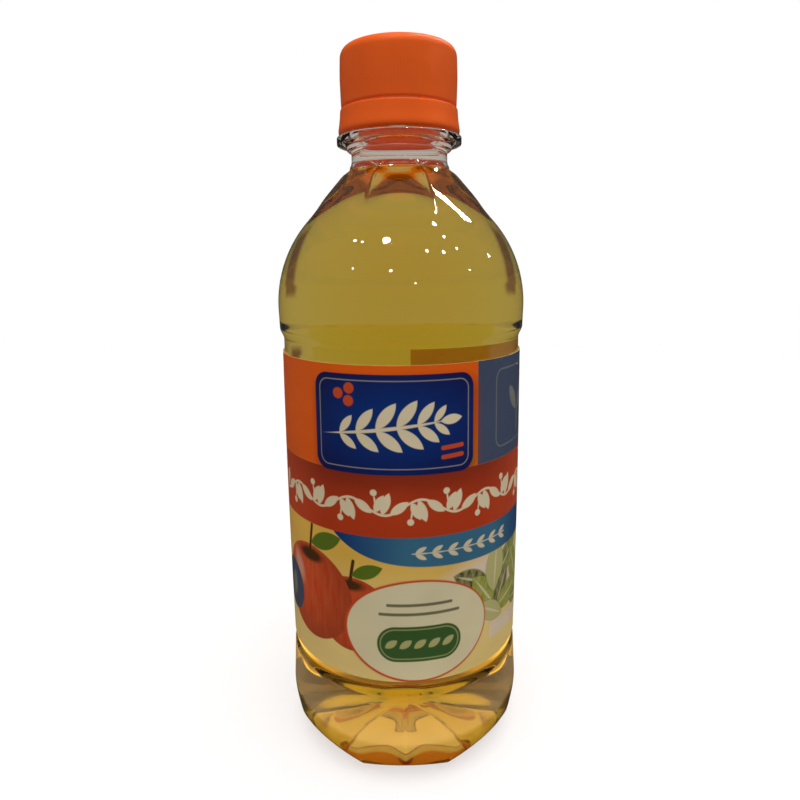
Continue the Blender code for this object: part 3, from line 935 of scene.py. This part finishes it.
def make_floor():
    """White paper. Through the bottle it glows with painted light, darker as in a dim room, with a painted
    shadow round the foot and one bright ring of painted light.
    """
    bpy.ops.mesh.primitive_circle_add(vertices=96, radius=FLOOR_RADIUS, fill_type="NGON", location=(0, 0, 0))
    floor = bpy.context.object
    floor.name = "floor"
    made, tree, shader = principled("floor_white", Base_Color=(0.85, 0.89, 0.96, 1.0), Roughness=0.9)
    coords = new_node(tree, "ShaderNodeTexCoord")
    far = vector_calc(tree, "LENGTH", coords.outputs["Object"])
    split = new_node(tree, "ShaderNodeSeparateXYZ")
    tree.links.new(coords.outputs["Object"], split.inputs["Vector"])
    rays = new_node(tree, "ShaderNodeLightPath")
    gloss = reflected(tree, rays)
    turn, side = dark_sides(tree, split.outputs["X"], split.outputs["Y"])
    side = calc(tree, "MULTIPLY", side, climb(tree, far, *DARK_SIDES_FROM))
    front = calc(tree, "MULTIPLY", climb(tree, turn, *DARK_FRONT_TURN), climb(tree, far, *DARK_FRONT_FROM))
    dark = calc(tree, "SUBTRACT", calc(tree, "MAXIMUM", side, front), gloss, clamp=True)
    # Painted shadow: a dark ring on the floor round the foot.
    near = blend(tree, fading_band(tree, far, *FOOT_SHADOW), NEAR_FLOOR, FOOT_SHADOW_LIGHT)
    lit = blend(tree, climb(tree, far, *NEAR_TO_FAR), near, FAR_FLOOR)
    # Painted light: one bright ring on the floor round the foot.
    bright = fading_band(tree, far, *BRIGHT_RING)
    bright = calc(tree, "SUBTRACT", bright, rays.outputs["Is Diffuse Ray"], clamp=True)
    lit = blend(tree, bright, lit, BRIGHT_RING_LIGHT)
    glow = new_node(tree, "ShaderNodeEmission")
    tree.links.new(blend(tree, dark, lit, DARK_FLOOR), glow.inputs["Color"])
    dimmed = calc(tree, "MULTIPLY_ADD", gloss, 2.0 * GLOSS_ROOM - 1.0, 1.0)
    tree.links.new(dimmed, glow.inputs["Strength"])
    white = new_node(tree, "ShaderNodeEmission")
    paper = new_node(tree, "ShaderNodeMixShader")
    paper.inputs["Fac"].default_value = 0.65
    tree.links.new(shader.outputs["BSDF"], paper.inputs[1])
    tree.links.new(white.outputs["Emission"], paper.inputs[2])
    mix = new_node(tree, "ShaderNodeMixShader")
    tree.links.new(rays.outputs["Is Camera Ray"], mix.inputs["Fac"])
    tree.links.new(glow.outputs["Emission"], mix.inputs[1])
    tree.links.new(paper.outputs["Shader"], mix.inputs[2])
    tree.links.new(mix.outputs["Shader"], tree.nodes["Material Output"].inputs["Surface"])
    floor.data.materials.append(made)


def make_world():
    """White behind the bottle, a dim room through it, lighter above, and a darker one in its gloss."""
    world = bpy.data.worlds.new("studio")
    bpy.context.scene.world = world
    world.use_nodes = True
    tree = world.node_tree
    background = tree.nodes["Background"]
    rays = new_node(tree, "ShaderNodeLightPath")
    seen = rays.outputs["Is Camera Ray"]
    glossy = reflected(tree, rays)
    coords = new_node(tree, "ShaderNodeTexCoord")
    split = new_node(tree, "ShaderNodeSeparateXYZ")
    tree.links.new(coords.outputs["Generated"], split.inputs["Vector"])
    room = blend(tree, climb(tree, split.outputs["Z"], *HIGH_ROOM_Z), LEVEL_ROOM, HIGH_ROOM)
    side = dark_sides(tree, split.outputs["X"], split.outputs["Y"])[1]
    low = climb(tree, split.outputs["Z"], *DARK_SIDES_BELOW)
    side = calc(tree, "SUBTRACT", calc(tree, "MULTIPLY", side, low), glossy, clamp=True)
    room = blend(tree, side, room, tuple(value / ROOM for value in DARK_FLOOR[:3]) + (1.0,))
    tint = blend(tree, seen, room, (1.0, 1.0, 1.0, 1.0))
    strength = calc(tree, "MULTIPLY_ADD", glossy, GLOSS_ROOM - ROOM, ROOM)
    strength = calc(tree, "MULTIPLY_ADD", seen, 1.0 - ROOM, strength)
    tree.links.new(tint, background.inputs["Color"])
    tree.links.new(strength, background.inputs["Strength"])


def make_spots():
    """Ceiling spots, which show only in the gloss."""
    made = bpy.data.materials.new("spot_light")
    made.use_nodes = True
    tree = made.node_tree
    tree.nodes.clear()
    glow = new_node(tree, "ShaderNodeEmission")
    glow.inputs["Strength"].default_value = 70.0
    glow.inputs["Color"].default_value = (1.0, 0.93, 0.80, 1.0)
    out = new_node(tree, "ShaderNodeOutputMaterial")
    tree.links.new(glow.outputs["Emission"], out.inputs["Surface"])
    made.cycles.emission_sampling = "NONE"
    for number, (across, away, radius) in enumerate(CEILING_SPOTS):
        place = (across, away, CEILING)
        bpy.ops.mesh.primitive_circle_add(vertices=24, radius=radius, fill_type="NGON", location=place)
        spot = bpy.context.object
        spot.name = "ceiling_spot_%d" % number
        spot.rotation_euler = Vector(place).to_track_quat("Z", "Y").to_euler()
        spot.data.materials.append(made)
        spot.visible_camera = False
        spot.visible_diffuse = False
        spot.visible_transmission = False
        spot.visible_shadow = False


def make_sun():
    sun = bpy.data.lights.new("overhead", "SUN")
    sun.energy = 2.7
    sun.angle = math.radians(50.0)
    lamp = bpy.data.objects.new("overhead", sun)
    lamp.rotation_euler = Vector((0.08, -0.2, 1.0)).to_track_quat("Z", "Y").to_euler()
    lamp.visible_glossy = False
    lamp.visible_transmission = False
    bpy.context.scene.collection.objects.link(lamp)


def make_camera():
    """Seen from just in front, at three quarters of the bottle's height, looking a little down."""
    data = bpy.data.cameras.new("camera")
    data.lens = CAMERA_LENS
    data.sensor_width = 36.0
    data.shift_x, data.shift_y = CAMERA_SHIFT
    data.clip_start = 0.01
    camera = bpy.data.objects.new("camera", data)
    tilt = Matrix.Rotation(math.radians(90.0) - CAMERA_DOWN, 4, "X")
    lean = Matrix.Rotation(CAMERA_LEAN, 4, "Z")
    camera.matrix_world = Matrix.Translation(CAMERA_PLACE) @ tilt @ lean
    bpy.context.scene.collection.objects.link(camera)
    bpy.context.scene.camera = camera


make_camera()
make_bottle()
make_vinegar()
make_cap()
make_label()
make_floor()
make_world()
make_spots()
make_sun()
bpy.context.scene.view_settings.view_transform = "Standard"
bpy.context.scene.cycles.transparent_max_bounces = 12
bpy.context.scene.cycles.max_bounces = 24
bpy.context.scene.cycles.transmission_bounces = 24
bpy.context.scene.cycles.glossy_bounces = 8
bpy.context.scene.cycles.blur_glossy = 0.0
